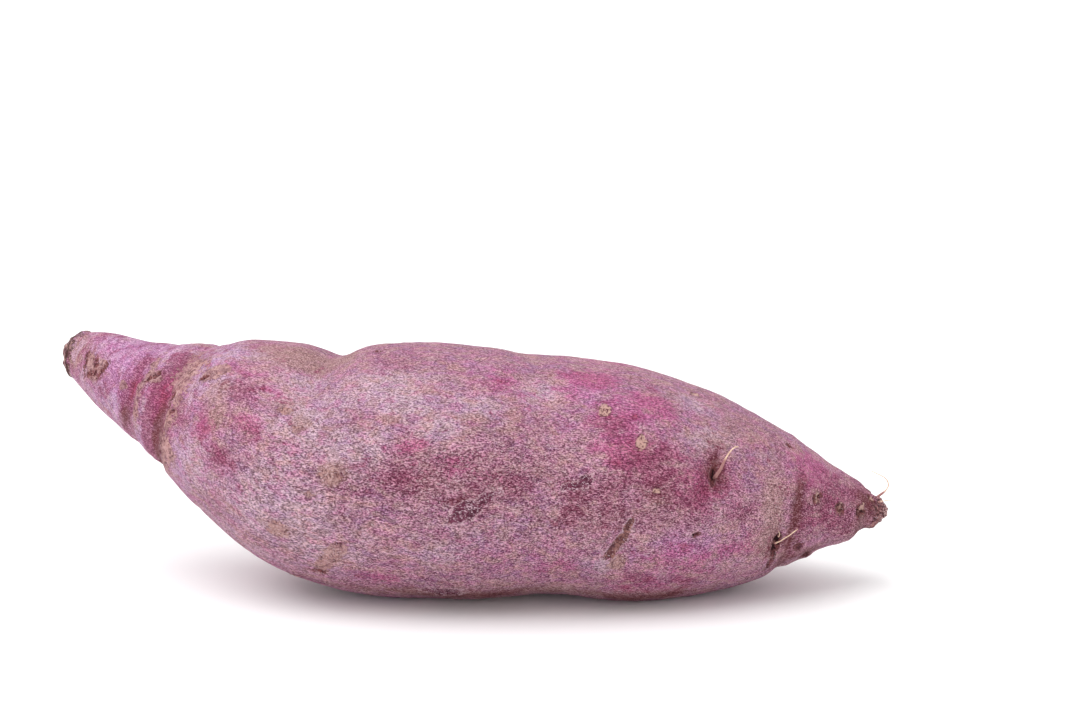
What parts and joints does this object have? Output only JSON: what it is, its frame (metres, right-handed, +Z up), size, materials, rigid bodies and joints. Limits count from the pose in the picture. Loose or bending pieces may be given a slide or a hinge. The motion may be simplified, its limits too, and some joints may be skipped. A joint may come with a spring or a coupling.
{
  "type": "purple yam, a whole purple-skinned sweet potato root",
  "caption": "Whole purple yam: a tapered storage root lying on its side, with a neck, growth rings, eyes and a few hair roots.",
  "frame": {"origin": "on the table, under the middle of the root's bounding box", "axes": "+X along the root from its crown scar to its torn tail, +Y to the back, +Z up"},
  "size_m": [0.1986, 0.0632, 0.0583],
  "materials": {
    "skin": "dull corky purple skin, mottled lavender, magenta and tan",
    "rootlet": "dry fibrous cream to pink-brown"
  },
  "bodies": {
    "root": {"tuber": "skin", "flank_rootlet": "rootlet", "collar_rootlet": "rootlet", "collar_rootlet_short": "rootlet", "tail_rootlet_curled": "rootlet", "tail_rootlet_short": "rootlet"}
  },
  "joints": []
}
